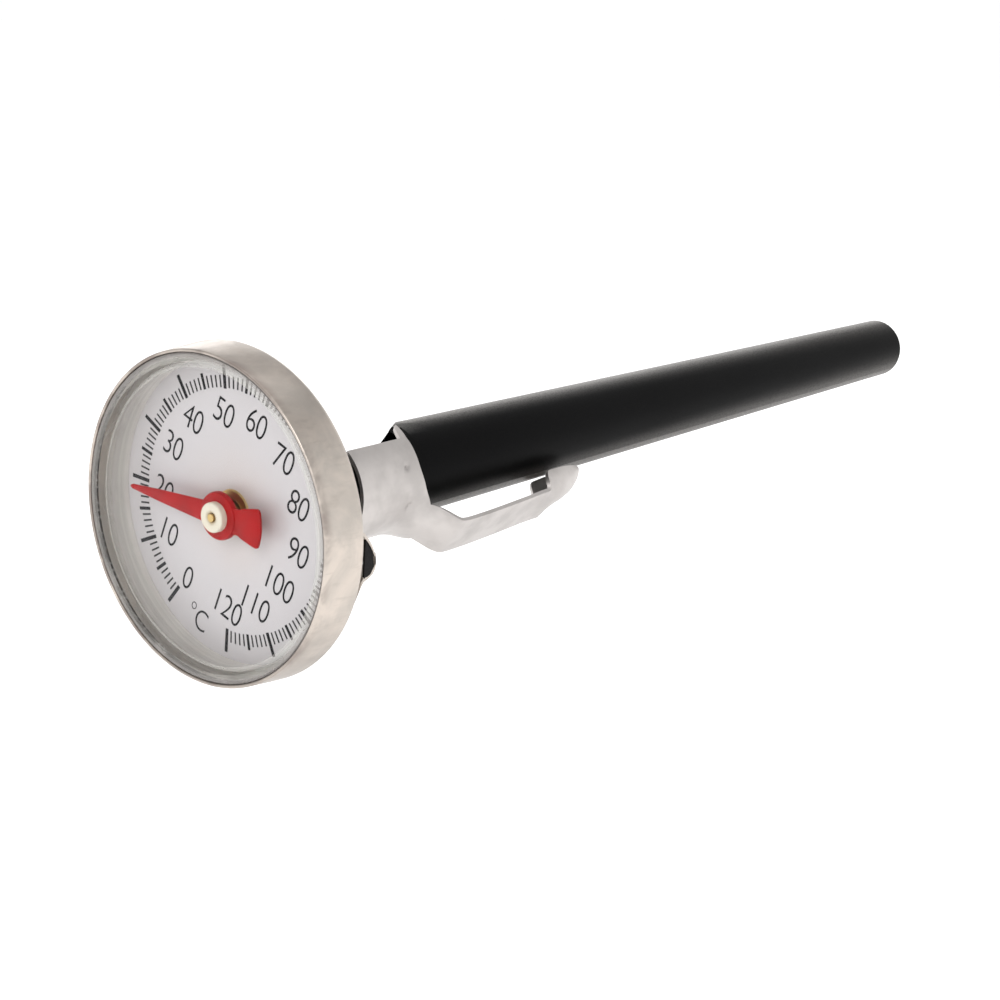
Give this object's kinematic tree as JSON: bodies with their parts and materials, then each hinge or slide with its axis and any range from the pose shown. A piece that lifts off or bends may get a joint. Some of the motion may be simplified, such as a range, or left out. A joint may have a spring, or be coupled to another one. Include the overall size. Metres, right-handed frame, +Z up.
{
  "type": "pocket dial thermometer",
  "caption": "Bimetal dial thermometer with a long thin stem, a calibration nut under the head and a pocket sheath with a spring clip.",
  "frame": {"origin": "on the stem's axis at the calibration nut's rear face, where the bare stem starts", "axes": "+Y along the stem from the head to its tip, the dial faces -Y, +Z up with the clip below and to the right of the dial as it is read"},
  "size_m": [0.035, 0.1374, 0.035],
  "materials": {
    "case_steel": "satin stainless steel with a warm cast",
    "stem_steel": "smooth stainless steel",
    "nut_steel": "turned steel",
    "clip_steel": "satin spring steel",
    "washer_steel": "spring steel",
    "crystal": "clear moulded polycarbonate",
    "seal": "black rubber",
    "dial_print": "satin pale grey print on aluminium",
    "spacer_metal": "pressed",
    "pointer_red": "satin red enamel",
    "pointer_cap": "cream moulding",
    "brass": "turned brass",
    "coil_metal": "rolled bimetal tape",
    "sheath_plastic": "satin black moulding"
  },
  "bodies": {
    "stem": {"stem_tube": "stem_steel", "stem_tip": "stem_steel", "stem_shoulder": "stem_steel", "calibration_nut": "nut_steel", "friction_washer": "washer_steel", "upper_bush": "brass", "lower_bush": "brass", "coil_anchor": "brass"},
    "head": {"case_band": "case_steel", "case_back": "case_steel", "case_hub": "nut_steel", "crystal": "crystal", "crystal_seal": "seal", "dial_plate": "dial_print", "dial_spacer": "spacer_metal", "dial_eyelet": "brass"},
    "pointer": {"pointer": "pointer_red", "pointer_hub": "pointer_cap", "spindle": "brass", "coil_collar": "brass", "bimetal_coil": "coil_metal"},
    "sheath": {"sheath": "sheath_plastic", "clip_saddle": "clip_steel"},
    "clip": {"clip_tongue": "clip_steel"}
  },
  "joints": [
    {"name": "head_turn", "type": "hinge", "parent": "stem", "child": "head", "pos_m": [0, 0, 0], "axis": [0, 1, 0], "continuous": true},
    {"name": "pointer_turn", "type": "hinge", "parent": "stem", "child": "pointer", "pos_m": [0, 0, 0], "axis": [0, 1, 0], "range_deg": [-52.6, 271.4], "stiffness_Nm_per_rad": 0.0001, "deforming": ["bimetal_coil"]},
    {"name": "sheath_slide", "type": "slide", "parent": "stem", "child": "sheath", "axis": [0, 1, 0], "range_m": [0, 0.16]},
    {"name": "clip_flex", "type": "hinge", "parent": "sheath", "child": "clip", "pos_m": [0.0046, 0.01225, -0.004], "axis": [-0.6561, 0, -0.7547], "range_deg": [0, 5], "stiffness_Nm_per_rad": 0.6}
  ]
}
